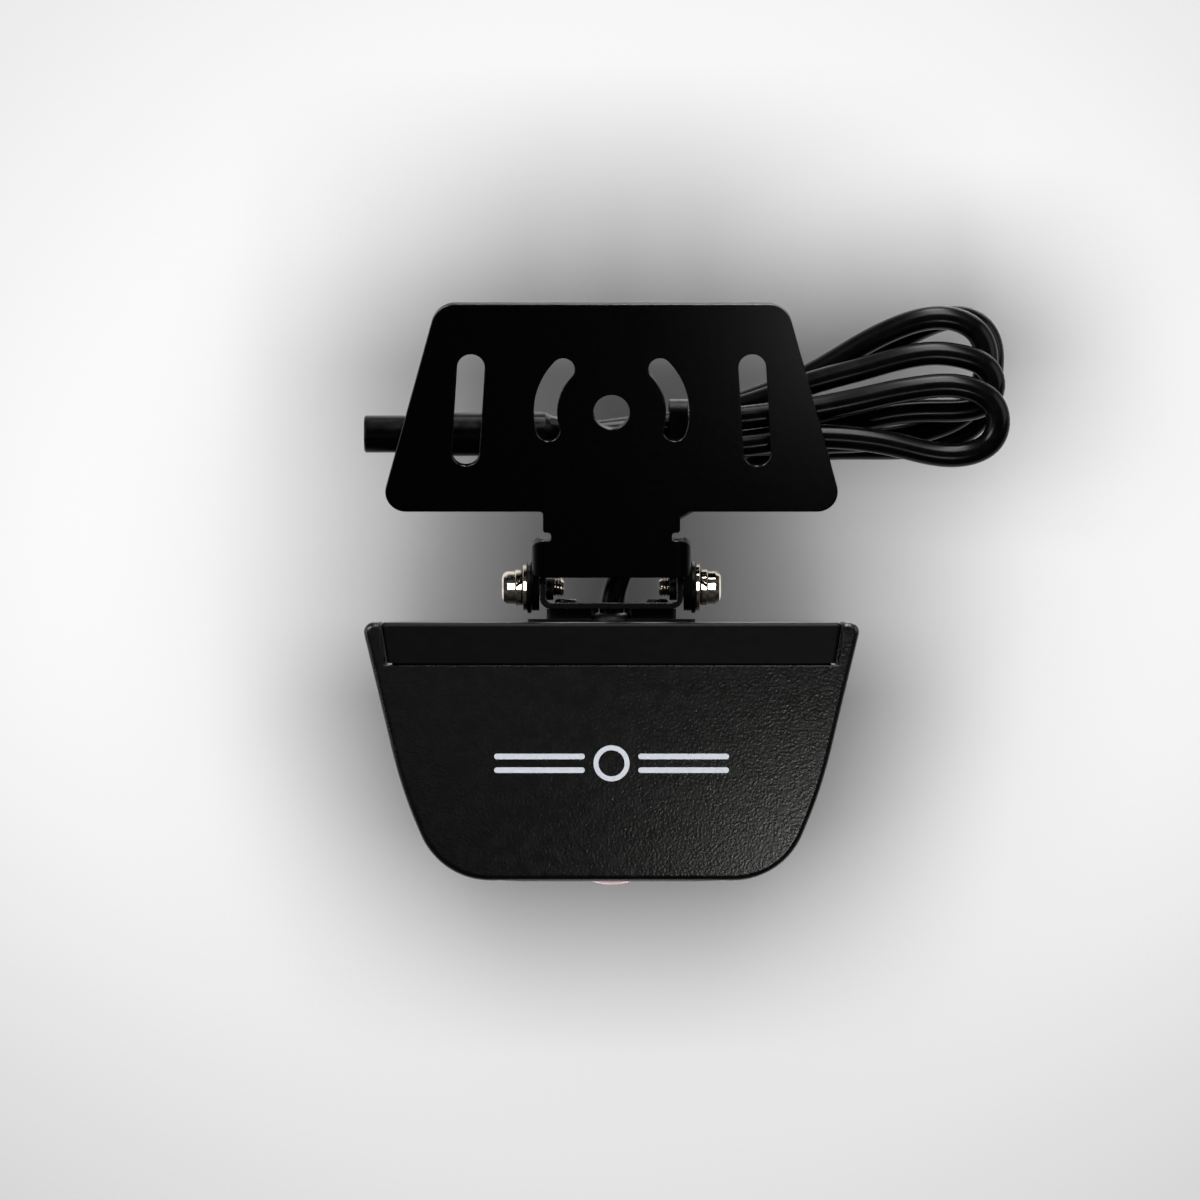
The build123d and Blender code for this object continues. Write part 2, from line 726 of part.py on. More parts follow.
def inner_wires():
    with BuildPart() as piece:
        for plug_x, cable_x in WIRES:
            with BuildLine():
                Spline(cam(plug_x, MID_Y, WIRE_START),
                       cam((plug_x + cable_x) / 2, MID_Y / 2, (WIRE_START + WIRE_END) / 2),
                       cam(cable_x, 0, WIRE_END), tangents=[UP, UP])
            with BuildSketch(centred(WIRE_START)):
                with Locations((plug_x, 0)):
                    Circle(0.38)
            sweep()
    return piece.part


def cable_grommet():
    hole_r, flange_r, low = 2.0, 4.6, -9.4
    inside = REAR - COVER_END_T
    with BuildPart() as piece:
        with BuildSketch(CAM_XZ):
            with BuildLine():
                Polyline((hole_r, REAR + 1.5), (hole_r, low), (flange_r, low),
                         (flange_r, inside), (3.0, inside), (3.0, REAR), (3.7, REAR))
                ThreePointArc((3.7, REAR), (3.25, REAR + 1.0), (hole_r, REAR + 1.5))
            make_face()
        revolve(axis=CAM_AXIS)
    return piece.part


def strain_relief_ring():
    with BuildPart() as piece:
        with BuildSketch(CAM_XY.offset(-11.2)):
            Circle(3.0)
            Circle(1.97, mode=Mode.SUBTRACT)
        extrude(amount=1.7)
        chamfer(piece.edges().filter_by(GeomType.CIRCLE).filter_by(
            lambda e: e.radius > 2.5), 0.2)
    return piece.part


# ---------------------------------------------------------------------------
# cable, in the coil frame
# ---------------------------------------------------------------------------
# depths of the four layers, nearest the plate first
DEPTH1, DEPTH2, DEPTH3, DEPTH4 = [8.0 + 4.1 * i for i in range(4)]
PLUG_UP, PLUG_DEPTH = -3.35, 6.4     # connector axis
PIVOT_UP = Vector(PIVOT).dot(UP)
PIVOT_DEPTH = Vector(PIVOT).dot(DEPTH)

# one turn at the -X end, down to the next layer: x, up, drop in depth
LEFT_TURN = [(4.5, -1.8, 0), (-0.5, -2.5, 0.2), (-4.1, -4.1, 0.75), (-5.6, -7.3, 1.5),
             (-4.0, -10.7, 2.3), (-0.5, -12.2, 3.0), (4.5, -10.6, 3.65), (9.0, -7.2, 4.05)]


def in_layer(depth, points):
    return [(x, up, depth) for x, up in points]


def left_turn(depth):
    return [(x, up, depth - drop) for x, up, drop in LEFT_TURN]


# Stations are x, up, depth, or x, up within one layer.
# OUT runs towards +X, BACK returns above it towards -X.
LEAD_END = (17.0, PIVOT_UP + 16.6, PIVOT_DEPTH + 3.6)
OUT_4 = [LEAD_END, (24.0, -8.8, DEPTH4 - 0.05)] + in_layer(DEPTH4, [
    (31.0, -7.0), (38.0, -6.5), (45.0, -6.3), (50.0, -5.6), (54.0, -4.1),
    (57.4, -2.3), (59.8, 0.2), (61.2, 4.0), (61.9, 8.2)])
BACK_4 = in_layer(DEPTH4, [
    (61.8, 11.5), (60.2, 14.4), (57.0, 16.0), (52.4, 15.6), (46.5, 13.6), (40.6, 10.6),
    (34.0, 6.6), (28.0, 3.6), (22.0, 1.3), (15.5, -0.4), (10.5, -1.15)])
OUT_3 = in_layer(DEPTH3, [
    (15.5, -5.4), (23.0, -4.9), (33.5, -4.4), (41.0, -4.1), (48.5, -3.1), (54.0, -1.5),
    (57.6, 0.6), (59.8, 3.6), (60.7, 7.0)])
BACK_3 = in_layer(DEPTH3, [
    (60.8, 10.0), (59.6, 13.1), (56.6, 15.2), (52.4, 15.75), (46.5, 14.2), (40.6, 11.3),
    (34.4, 7.4), (28.0, 4.0), (22.0, 1.6), (15.5, -0.3), (10.5, -1.15)])
OUT_2 = in_layer(DEPTH2, [
    (15.5, -5.4), (23.0, -4.4), (33.5, -2.6), (40.0, -1.1), (46.0, 0.2), (52.0, 0.6),
    (57.4, 0.8), (60.6, 2.0)])
BACK_2 = in_layer(DEPTH2, [
    (61.8, 4.9), (60.6, 7.6), (57.2, 9.2), (52.4, 9.8), (47.2, 9.1), (40.6, 7.3),
    (32.0, 4.9), (25.0, 2.4), (18.0, 0.2), (10.5, -1.2)])
OUT_1 = in_layer(DEPTH1, [
    (15.5, -5.5), (23.0, -4.8), (31.0, -3.8), (38.0, -3.9), (45.5, -5.0), (52.0, -6.5),
    (57.4, -6.5), (61.3, -4.4), (62.35, -1.0)])
BACK_1 = in_layer(DEPTH1, [
    (61.2, 2.0), (58.4, 3.8), (54.3, 4.5), (50.0, 4.2), (45.3, 3.4), (39.4, 2.1),
    (33.0, 0.85), (25.0, -0.25), (17.0, -1.1)])
TO_PLUG = [(10.5, -1.6, DEPTH1 - 0.05), (4.0, -2.4, DEPTH1 - 0.5),
           (-2.0, -3.1, DEPTH1 - 1.3), (-6.5, PLUG_UP, PLUG_DEPTH),
           (-9.3, PLUG_UP, PLUG_DEPTH), (-12.0, PLUG_UP, PLUG_DEPTH)]

COIL_POINTS = (OUT_4 + BACK_4 + left_turn(DEPTH4) + OUT_3 + BACK_3 + left_turn(DEPTH3)
               + OUT_2 + BACK_2 + left_turn(DEPTH2) + OUT_1 + BACK_1 + TO_PLUG)
COIL_PATH = Spline(*[coil(*point) for point in COIL_POINTS], mode=Mode.PRIVATE)
# where the path is cut into runs, in twelfths of its length
CUTS = [0, 1, 2, 3, 4, 4.5, *range(5, 13)]

# from the camera's straight exit to the start of the coil: x, up, depth
LEAD_BEND_Z = -4.4
LEAD = [(0, PIVOT_UP + LEAD_BEND_Z, PIVOT_DEPTH), (0.65, PIVOT_UP - 0.3, PIVOT_DEPTH),
        (2.6, PIVOT_UP + 4.6, PIVOT_DEPTH + 0.1), (6.0, PIVOT_UP + 9.6, PIVOT_DEPTH + 0.6),
        (11.5, PIVOT_UP + 13.4, PIVOT_DEPTH + 2.0), LEAD_END]


def cable_coil():
    """The coil, swept in short runs laid end to end along one smooth path."""
    runs = []
    for start, end in zip(CUTS, CUTS[1:]):
        with BuildPart() as run:
            with BuildLine() as path:
                add(COIL_PATH.trim(start / 12, end / 12))
            with BuildSketch(Plane(origin=path.line @ 0, z_dir=path.line % 0)):
                Circle(CABLE_R)
            sweep()
        runs.append(run.part.solid())
    return Compound(children=runs)


def cable_lead():
    with BuildPart() as piece:
        with BuildLine():
            straight = Line(cam(0, 0, -11.4), cam(0, 0, LEAD_BEND_Z))
            Spline(*[coil(*point) for point in LEAD], tangents=[UP, COIL_PATH % 0])
        with BuildSketch(Plane(origin=straight @ 0, z_dir=UP)):
            Circle(CABLE_R)
        sweep()
    return piece.part


def cable_tie():
    """Band round the strands, with its head on the +Y side."""
    gap, band_t = 0.15, 0.8
    inner = DEPTH4 - DEPTH1 + 2 * (CABLE_R + gap)
    inner_h = 10.8
    with BuildPart() as piece:
        with BuildSketch(Plane(origin=coil(9.3, 0, 0), x_dir=DEPTH, z_dir=SIDEWAYS)):
            with Locations(((DEPTH1 + DEPTH4) / 2, -3.9)):
                RectangleRounded(inner + 2 * band_t, inner_h + 2 * band_t, 2.6)
                RectangleRounded(inner, inner_h, 1.8, mode=Mode.SUBTRACT)
        extrude(amount=3.0)
        with BuildSketch(Plane(origin=coil(8.6, 0, 0), x_dir=DEPTH, z_dir=SIDEWAYS)):
            with Locations((DEPTH4 + CABLE_R + 2.5, -2.2)):
                RectangleRounded(3.2, 5.0, 0.6)
        extrude(amount=4.4)
    return piece.part


# ---------------------------------------------------------------------------
# connector, along X with its open end towards -X
# ---------------------------------------------------------------------------
PLUG_END = -39.8
NOSE_R, BODY_R, BORE_R = 3.0, 3.55, 2.4
INSERT_BACK = -30.0
CONTACT_R = 1.35                     # contacts' distance from the axis
# half section of the shell: x, radius
SHELL = [(PLUG_END, BORE_R), (PLUG_END, 2.75), (PLUG_END + 0.25, NOSE_R),
         (-32.0, NOSE_R), (-31.4, BODY_R), (-10.6, BODY_R), (-9.8, 3.0),
         (-7.4, 2.5), (-7.4, 2.06), (-12.1, 2.06), (-12.1, 0),
         (INSERT_BACK, 0), (INSERT_BACK, BORE_R)]


def plug_section(x):
    """Plane across the connector at x, its local x along world Y."""
    return Plane(origin=coil(x, PLUG_UP, PLUG_DEPTH), x_dir=(0, 1, 0), z_dir=SIDEWAYS)


def connector_shell():
    centre = coil(0, PLUG_UP, PLUG_DEPTH)
    with BuildPart() as piece:
        with BuildSketch(Plane(origin=centre, x_dir=SIDEWAYS, z_dir=(0, 0, 1))):
            with BuildLine():
                Polyline(*SHELL, close=True)
            make_face()
        revolve(axis=Axis(centre, SIDEWAYS))
        # keyway along the nose and into the body
        with BuildSketch(Plane(origin=coil(PLUG_END, PLUG_UP, PLUG_DEPTH),
                               x_dir=DEPTH, z_dir=SIDEWAYS)):
            with Locations((-2.9, -1.1)):
                Rectangle(0.7, 0.45, rotation=20)
        extrude(amount=9.0, mode=Mode.SUBTRACT)
    return piece.part


def connector_insert():
    length = 8.2
    with BuildPart() as piece:
        with BuildSketch(plug_section(INSERT_BACK - length)):
            Circle(2.35)
            with PolarLocations(CONTACT_R, 4, 45):
                Circle(0.4, mode=Mode.SUBTRACT)
        extrude(amount=length)
    return piece.part


def connector_contacts():
    with BuildPart() as piece:
        with BuildSketch(plug_section(-37.9)):
            with PolarLocations(CONTACT_R, 4, 45):
                Circle(0.38)
                Circle(0.2, mode=Mode.SUBTRACT)
        extrude(amount=7.5)
    return piece.part


# ---------------------------------------------------------------------------
# build and export; each file takes its function's name
# ---------------------------------------------------------------------------
PIECES = (
    mounting_plate,
    friction_washers, flat_washers, spring_washers, pivot_screws, u_bracket, bracket_screws,
    front_housing, rear_cover, rear_gasket, housing_screws, panel_adhesive, front_panel,
    face_mark,
    lens_barrel, lens_front_element, lens_inner_elements, lens_spacer, ir_filter,
    lens_o_ring, lens_holder,
    image_sensor, sensor_board, holder_screws, board_standoffs, sensor_board_screws,
    main_board, main_board_screws, board_chips, board_header, wire_plug, inner_wires,
    cable_grommet, strain_relief_ring,
    cable_coil, cable_lead, cable_tie,
    connector_shell, connector_insert, connector_contacts,
)

for build in PIECES:
    solid = build()
    solid.label = build.__name__
    export_step(solid, f"parts/{build.__name__}.step")
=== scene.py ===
"""A small camera on a tilting bracket, with its cable gathered in a flat pack behind it.

World axes are metres with +Z up. The camera's flat top is tilted, and places are given
in a view frame square to it, in millimetres from the centre of the mounting plate's
round hole: x to the right, up along the flat top, and back away from the viewer.
"""

import math

import bpy
import numpy as np
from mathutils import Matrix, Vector


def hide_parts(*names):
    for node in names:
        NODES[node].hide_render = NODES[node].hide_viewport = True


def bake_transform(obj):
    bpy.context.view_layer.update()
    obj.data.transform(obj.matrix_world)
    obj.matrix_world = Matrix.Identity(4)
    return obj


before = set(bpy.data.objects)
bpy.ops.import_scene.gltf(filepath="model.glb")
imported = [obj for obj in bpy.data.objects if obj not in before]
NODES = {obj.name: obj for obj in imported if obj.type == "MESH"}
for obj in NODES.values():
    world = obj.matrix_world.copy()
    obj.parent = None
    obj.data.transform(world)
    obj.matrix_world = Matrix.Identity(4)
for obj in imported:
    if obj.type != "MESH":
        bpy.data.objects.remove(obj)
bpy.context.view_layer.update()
SCENE = bpy.context.scene

# ---------------------------------------------------------------------------
# view frame
# ---------------------------------------------------------------------------
TILT = math.radians(20)
SIN_TILT, COS_TILT = math.sin(TILT), math.cos(TILT)

# what the view, the backdrop and most lights are centred on
VIEW_X, VIEW_UP, VIEW_BACK = -1.855, -30.08, 8
MIDDLE = (VIEW_X, VIEW_UP, VIEW_BACK)
BACKDROP_BACK = 72.0


def mm(x, up, back):
    """World place, in metres, of a place in the view frame."""
    return Vector((x, up * SIN_TILT + back * COS_TILT,
                   up * COS_TILT - back * SIN_TILT)) / 1000


def facing(direction):
    """Rotation that points a light or a camera along a direction."""
    return direction.to_track_quat("-Z", "Y").to_euler()


def add_object(name, data):
    obj = bpy.data.objects.new(name, data)
    SCENE.collection.objects.link(obj)
    return obj


# ---------------------------------------------------------------------------
# material building
# ---------------------------------------------------------------------------
def add_node(tree, kind, inputs=None, **settings):
    """Add a shader node; each input is a socket to link from or a plain value."""
    node = tree.nodes.new("ShaderNode" + kind)
    for key, value in settings.items():
        setattr(node, key, value)
    for key, value in (inputs or {}).items():
        if isinstance(value, bpy.types.NodeSocket):
            tree.links.new(value, node.inputs[key])
        else:
            node.inputs[key].default_value = value
    return node


class Material:
    """A Principled material built from object-space procedural textures.

    Radii and depths are in millimetres; texture scales are per metre.
    """

    def __init__(self, name, color, rough, metal=0.0, spec=0.5):
        self.mat = bpy.data.materials.new(name)
        self.mat.use_nodes = True
        self.tree = self.mat.node_tree
        self.tree.nodes.clear()
        self.out = self.node("OutputMaterial")
        self.bsdf = self.node("BsdfPrincipled")
        self.surface(self.bsdf)
        self.coords = self.node("TexCoord").outputs["Object"]
        self.set("Base Color", (*color, 1))
        self.set("Roughness", rough)
        self.set("Metallic", metal)
        self.set("Specular IOR Level", spec)
        self.mat.diffuse_color = (*color, 1)
        self.mat.roughness = rough
        self.mat.metallic = metal
        self.color, self.rough = color, rough
        self.normal = None

    # --- building blocks ---
    def node(self, kind, inputs=None, **settings):
        return add_node(self.tree, kind, inputs, **settings)

    def surface(self, shader):
        self.tree.links.new(shader.outputs[0], self.out.inputs["Surface"])

    def set(self, name, value):
        self.bsdf.inputs[name].default_value = value
        return self

    def drive(self, name, socket):
        self.tree.links.new(socket, self.bsdf.inputs[name])

    def noise(self, scale, detail):
        return self.node("TexNoise", {"Scale": scale, "Detail": detail,
                                      "Vector": self.coords}).outputs["Fac"]

    def ramp(self, value, low, high, start=0.0, end=1.0, soft=False):
        """Map low..high to start..end."""
        kind = "SMOOTHERSTEP" if soft else "LINEAR"
        return self.node("MapRange", {"Value": value, "From Min": low, "From Max": high,
                                      "To Min": start, "To Max": end},
                         interpolation_type=kind).outputs["Result"]

    def math(self, operation, first, second):
        return self.node("Math", {0: first, 1: second}, operation=operation).outputs[0]

    def vector_math(self, operation, first, second):
        return self.node("VectorMath", {0: first, 1: second},
                         operation=operation).outputs["Value"]

    def mix_color(self, factor, other):
        """Mix another colour over whatever drives the base colour so far."""
        base = self.bsdf.inputs["Base Color"]
        below = base.links[0].from_socket if base.is_linked else (*self.color, 1)
        # a Mix node's colour sockets: inputs 6 and 7, output 2
        mix = self.node("Mix", {0: factor, 6: below, 7: (*other, 1)}, data_type="RGBA")
        self.drive("Base Color", mix.outputs[2])

    def use_normal(self, socket):
        self.normal = socket
        self.drive("Normal", socket)

    # --- looks, each returning the material so that they chain ---
    def vary_rough(self, scale, amount):
        self.drive("Roughness", self.ramp(self.noise(scale, detail=3.0), 0.3, 0.7,
                                          self.rough - amount, self.rough + amount))
        return self

    def vary_color(self, scale, other):
        self.mix_color(self.ramp(self.noise(scale, detail=3.0), 0.35, 0.65), other)
        return self

    def specks(self, scale, size, color):
        """A few grains of dust lying on the surface."""
        cells = self.node("TexVoronoi", {"Scale": scale, "Randomness": 1.0,
                                         "Vector": self.coords})
        grain = self.ramp(cells.outputs["Distance"], size * 0.6, size, 1.0, 0.0)
        pick = self.node("SeparateColor", {0: cells.outputs["Color"]})
        # only cells with a high red value carry a grain
        chosen = self.ramp(pick.outputs[0], 0.80, 0.86)
        self.mix_color(self.math("MULTIPLY", grain, chosen), color)
        return self

    def bevel(self, radius, samples=4):
        node = self.node("Bevel", {"Radius": radius / 1000}, samples=samples)
        self.bevelled = node.outputs["Normal"]
        self.use_normal(self.bevelled)
        return self

    def bump(self, scale, depth, strength, detail=2.0, limits=None):
        """Noise relief; limits are the noise values stretched to the full depth."""
        height = self.noise(scale, detail)
        if limits:
            height = self.ramp(height, *limits)
        inputs = {"Strength": strength, "Distance": depth / 1000, "Height": height}
        if self.normal is not None:
            inputs["Normal"] = self.normal
        self.use_normal(self.node("Bump", inputs).outputs["Normal"])
        return self

    def paint_gap_shade(self, reach, color):
        """Painted shade between stacked pieces: an occlusion mask darkens the colour where they
        close up.
        """
        shade = self.node("AmbientOcclusion", {"Distance": reach / 1000}, samples=8)
        self.mix_color(self.ramp(shade.outputs["AO"], 0.50, 0.90, 1.0, 0.0), color)
        return self

    def edge_shine(self, flat, edge):
        """More sheen where the bevelled surface turns over an edge."""
        true_normal = self.node("NewGeometry").outputs["True Normal"]
        turn = self.vector_math("DOT_PRODUCT", self.bevelled, true_normal)
        self.drive("Specular IOR Level", self.ramp(turn, 0.80, 0.985, edge, flat))
        return self

    def apply_to(self, *names):
        for name in names:
            materials = NODES[name].data.materials
            materials.clear()
            materials.append(self.mat)
        return self


# ---------------------------------------------------------------------------
# materials
# ---------------------------------------------------------------------------
NICKEL_PIECES = ["pivot_screws", "spring_washers", "flat_washers"]

(Material("bracket_black", color=(0.0006, 0.0006, 0.0007), rough=0.24, spec=0.055)
 .bevel(radius=0.30, samples=6).bump(scale=3400, depth=0.010, strength=0.15)
 .vary_rough(scale=900, amount=0.03).edge_shine(flat=0.055, edge=0.75)
 .specks(scale=110, size=0.022, color=(0.20, 0.20, 0.20))
 .apply_to("mounting_plate"))

(Material("hinge_black", color=(0.0022, 0.0022, 0.0024), rough=0.26, spec=0.20)
 .bevel(radius=0.30, samples=6).bump(scale=2200, depth=0.02, strength=0.3)
 .vary_rough(scale=800, amount=0.06).edge_shine(flat=0.12, edge=0.9)
 .apply_to("u_bracket", "bracket_screws"))

(Material("nickel", color=(0.90, 0.82, 0.70), rough=0.10, metal=1.0)
 .bevel(radius=0.10).vary_rough(scale=1200, amount=0.04)
 .bump(scale=1100, depth=0.03, strength=0.5, detail=3)
 .vary_color(scale=700, other=(0.58, 0.51, 0.42))
 # painted shade: darker colour where the screw heads and washers stack close
 .paint_gap_shade(reach=0.9, color=(0.012, 0.011, 0.010))
 .apply_to(*NICKEL_PIECES))

(Material("steel_screws", color=(0.56, 0.55, 0.54), rough=0.24, metal=1.0)
 .bevel(radius=0.08).vary_rough(scale=1500, amount=0.06)
 .bump(scale=3000, depth=0.01, strength=0.2)
 .apply_to("housing_screws", "main_board_screws", "sensor_board_screws",
           "holder_screws", "strain_relief_ring"))

(Material("black_nylon", color=(0.0007, 0.0007, 0.0007), rough=0.32, spec=0.07)
 .bevel(radius=0.15).bump(scale=2500, depth=0.012, strength=0.25)
 .vary_rough(scale=900, amount=0.05)
 .apply_to("friction_washers", "cable_tie"))

(Material("body_plastic", color=(0.0009, 0.0009, 0.0009), rough=0.27, spec=0.34)
 .bevel(radius=0.16)
 .bump(scale=2450, depth=0.056, strength=0.48, detail=1.5, limits=(0.25, 0.75))
 .vary_rough(scale=500, amount=0.03)
 .specks(scale=70, size=0.012, color=(0.22, 0.22, 0.22))
 .apply_to("front_housing"))

(Material("cover_plastic", color=(0.0014, 0.0014, 0.0015), rough=0.40, spec=0.09)
 .bevel(radius=0.16).bump(scale=2800, depth=0.02, strength=0.3)
 .vary_rough(scale=700, amount=0.04)
 .apply_to("rear_cover"))

(Material("black_rubber", color=(0.0020, 0.0020, 0.0020), rough=0.50, spec=0.12)
 .bump(scale=2400, depth=0.02, strength=0.4).vary_rough(scale=800, amount=0.05)
 .apply_to("rear_gasket", "cable_grommet", "lens_o_ring"))

(Material("panel_gloss", color=(0.003, 0.003, 0.0033), rough=0.07, spec=0.55)
 .bevel(radius=0.10).set("Coat Weight", 0.6).set("Coat Roughness", 0.04)
 .vary_rough(scale=60, amount=0.02)
 .apply_to("front_panel"))

(Material("foam_adhesive", color=(0.020, 0.020, 0.020), rough=0.85, spec=0.2)
 .bump(scale=2500, depth=0.08, strength=0.7, detail=4)
 .apply_to("panel_adhesive"))

(Material("mark_white", color=(0.50, 0.53, 0.58), rough=0.50, spec=0.25)
 .vary_color(scale=1500, other=(0.45, 0.48, 0.53))
 .apply_to("face_mark"))

(Material("lens_black", color=(0.008, 0.008, 0.0085), rough=0.32)
 .bevel(radius=0.12).bump(scale=2600, depth=0.01, strength=0.25)
 .vary_rough(scale=900, amount=0.04)
 .apply_to("lens_barrel", "lens_spacer"))

(Material("holder_black", color=(0.012, 0.012, 0.012), rough=0.45)
 .bevel(radius=0.12).bump(scale=2200, depth=0.02, strength=0.3)
 .vary_rough(scale=800, amount=0.05)
 .apply_to("lens_holder"))

(Material("chip_black", color=(0.016, 0.016, 0.017), rough=0.48)
 .bevel(radius=0.08).bump(scale=3000, depth=0.015, strength=0.3)
 .vary_rough(scale=1100, amount=0.06)
 .apply_to("board_chips", "image_sensor"))

(Material("brass", color=(0.72, 0.50, 0.20), rough=0.26, metal=1.0)
 .bevel(radius=0.08).vary_rough(scale=1300, amount=0.06)
 .vary_color(scale=900, other=(0.55, 0.37, 0.15))
 .apply_to("board_standoffs", "connector_contacts"))

(Material("white_nylon", color=(0.72, 0.70, 0.64), rough=0.45)
 .bevel(radius=0.10).bump(scale=2200, depth=0.01, strength=0.2)
 .vary_rough(scale=800, amount=0.04)
 .set("Subsurface Weight", 0.1).set("Subsurface Scale", 0.0008)
 .apply_to("board_header", "wire_plug"))

(Material("wire_red", color=(0.42, 0.02, 0.015), rough=0.38)
 .bump(scale=2600, depth=0.01, strength=0.2).vary_rough(scale=900, amount=0.05)
 .apply_to("inner_wires"))

CABLE_PVC = (
    Material("cable_pvc", color=(0.0007, 0.0007, 0.0008), rough=0.21, spec=0.085)
    .bump(scale=700, depth=0.012, strength=0.10, detail=1.5)
    .vary_rough(scale=420, amount=0.03)
    .vary_color(scale=600, other=(0.0018, 0.0018, 0.0019))
    .apply_to("cable_lead", "cable_coil"))

(Material("connector_black", color=(0.0005, 0.0005, 0.0006), rough=0.22, spec=0.08)
 .bevel(radius=0.15).bump(scale=2000, depth=0.015, strength=0.2)
 .vary_rough(scale=700, amount=0.05)
 .apply_to("connector_shell", "connector_insert"))


def circuit_green():
    """Solder mask with copper traces showing faintly through it."""
    board = Material("circuit_green", color=(0.010, 0.085, 0.030), rough=0.34)
    # turned with the tilted boards
    turned = board.node("Mapping", {"Vector": board.coords, "Rotation": (-TILT, 0, 0)})
    black, white = (0, 0, 0, 1), (1, 1, 1, 1)
    traces = board.node("TexBrick", {
        "Vector": turned.outputs["Vector"], "Scale": 520, "Mortar Size": 0.03,
        "Color1": black, "Color2": black, "Mortar": white})
    board.mix_color(traces.outputs["Color"], other=(0.025, 0.16, 0.055))
    board.bump(scale=2500, depth=0.01, strength=0.2).vary_rough(scale=700, amount=0.05)
    board.apply_to("main_board", "sensor_board")


def coated_glass(name, tint, bloom, amount):
    """Clear glass with a warm pink bloom, strongest where it faces away."""
    glass = Material(name, color=tint, rough=0.02)
    glass.set("Transmission Weight", 1.0).set("IOR", 1.52)
    glass.vary_rough(scale=300, amount=0.01)
    gloss = glass.node("BsdfGlossy", {"Color": (*bloom, 1), "Roughness": 0.12})
    edge = glass.node("LayerWeight", {"Blend": 0.35})
    factor = glass.ramp(edge.outputs["Facing"], 0.0, 1.0,
                        start=amount * 0.5, end=amount * 2.6)
    glass.surface(glass.node("MixShader", {"Fac": factor, 1: glass.bsdf.outputs[0],
                                           2: gloss.outputs[0]}))
    return glass


circuit_green()
(coated_glass("lens_glass", tint=(1.0, 0.93, 0.95), bloom=(0.95, 0.42, 0.50), amount=0.16)
 .apply_to("lens_front_element", "lens_inner_elements"))
(coated_glass("filter_glass", tint=(0.72, 0.95, 0.98), bloom=(0.90, 0.25, 0.30), amount=0.22)
 .apply_to("ir_filter"))

# ---------------------------------------------------------------------------
# the cable: one continuous sheath from the camera through the pack to the plug
# ---------------------------------------------------------------------------
CABLE_RADIUS = 1.95
CABLE_SIDES = 28
CABLE_STEP = 0.7

# the bracket's pivot, from its world place y 5.5, z -31.8
PIVOT_Y, PIVOT_Z = 5.5, -31.8
PIVOT_UP = PIVOT_Z * COS_TILT + PIVOT_Y * SIN_TILT
PIVOT_BACK = PIVOT_Y * COS_TILT - PIVOT_Z * SIN_TILT

# the pack's four layers, 1 at the front; the cable enters at 4 and leaves from 1
LAYER_STEP = 4.1
LAYER_1, LAYER_2, LAYER_3, LAYER_4 = [8.0 + LAYER_STEP * i for i in range(4)]
PLUG_UP, PLUG_BACK = -3.35, 6.4


def in_layer(back, points):
    return [(x, up, back) for x, up in points]


def left_turn(back):
    """The bend at the pack's left end, coming forward to the next layer."""
    # x, up, how far forward of the layer
    stations = [(4.5, -2.1, 0), (-0.5, -2.8, 0.2), (-4.1, -4.1, 0.75), (-5.6, -7.3, 1.5),
                (-4.0, -10.7, 2.3), (-0.5, -12.2, 3.0), (4.5, -10.6, 3.65), (9.0, -7.2, 4.05)]
    return [(x, up, back - forward) for x, up, forward in stations]


# out of the camera and up to the pack: x, up and back from the pivot
LEAD = [(x, PIVOT_UP + up, PIVOT_BACK + back) for x, up, back in [
    (0, -11.4, 0), (0, -9.0, 0), (0, -6.7, 0), (0, -4.4, 0), (0.65, -0.3, 0),
    (2.6, 4.6, 0.1), (6.0, 9.6, 0.6), (11.5, 13.4, 2.0), (17.0, 16.6, 3.6)]]

# each loop runs right along its lower side, round the right end and back left: x, up
LOOP_4 = [(24.0, -7.9, LAYER_4 - 0.05)] + in_layer(LAYER_4, [
    (31.0, -5.8), (38.0, -5.3), (45.0, -5.3), (50.0, -5.0), (54.0, -4.1), (57.8, -2.4),
    (60.3, 0.2), (61.5, 4.0), (62.0, 8.2), (61.8, 11.5), (60.2, 14.4), (57.0, 15.9),
    (52.4, 15.1), (46.5, 12.2), (40.6, 8.9), (34.0, 5.7), (28.0, 3.5), (22.0, 1.7),
    (15.5, -0.3), (10.5, -1.6)])
LOOP_3 = in_layer(LAYER_3, [
    (15.5, -5.4), (23.0, -4.9), (33.5, -4.4), (41.0, -4.1), (48.5, -3.1), (54.0, -1.5),
    (57.6, 0.6), (59.8, 3.6), (60.7, 7.0), (60.8, 10.0), (59.6, 13.1), (56.6, 15.2),
    (52.4, 15.75), (46.5, 14.2), (40.6, 11.3), (34.4, 7.6), (28.0, 4.4), (22.0, 2.1),
    (15.5, -0.3), (10.5, -1.6)])
LOOP_2 = in_layer(LAYER_2, [
    (15.5, -5.4), (23.0, -4.4), (33.5, -2.6), (40.0, -1.1), (46.0, 0.2), (52.0, 0.6),
    (57.4, 0.8), (60.6, 2.0), (61.8, 4.9), (60.6, 7.6), (57.2, 9.2), (52.4, 9.8),
    (47.2, 9.1), (40.6, 7.3), (32.0, 4.9), (25.0, 2.4), (18.0, 0.2), (10.5, -1.6)])
LOOP_1 = in_layer(LAYER_1, [
    (15.5, -5.5), (23.0, -4.8), (31.0, -3.8), (38.0, -3.9), (45.5, -5.0), (52.0, -6.5),
    (57.4, -6.5), (61.3, -4.4), (62.35, -1.0), (61.2, 2.0), (58.4, 3.8), (54.3, 4.5),
    (50.0, 4.2), (45.3, 3.4), (39.4, 2.1), (33.0, 0.85), (25.0, -0.25), (17.0, -1.1)])
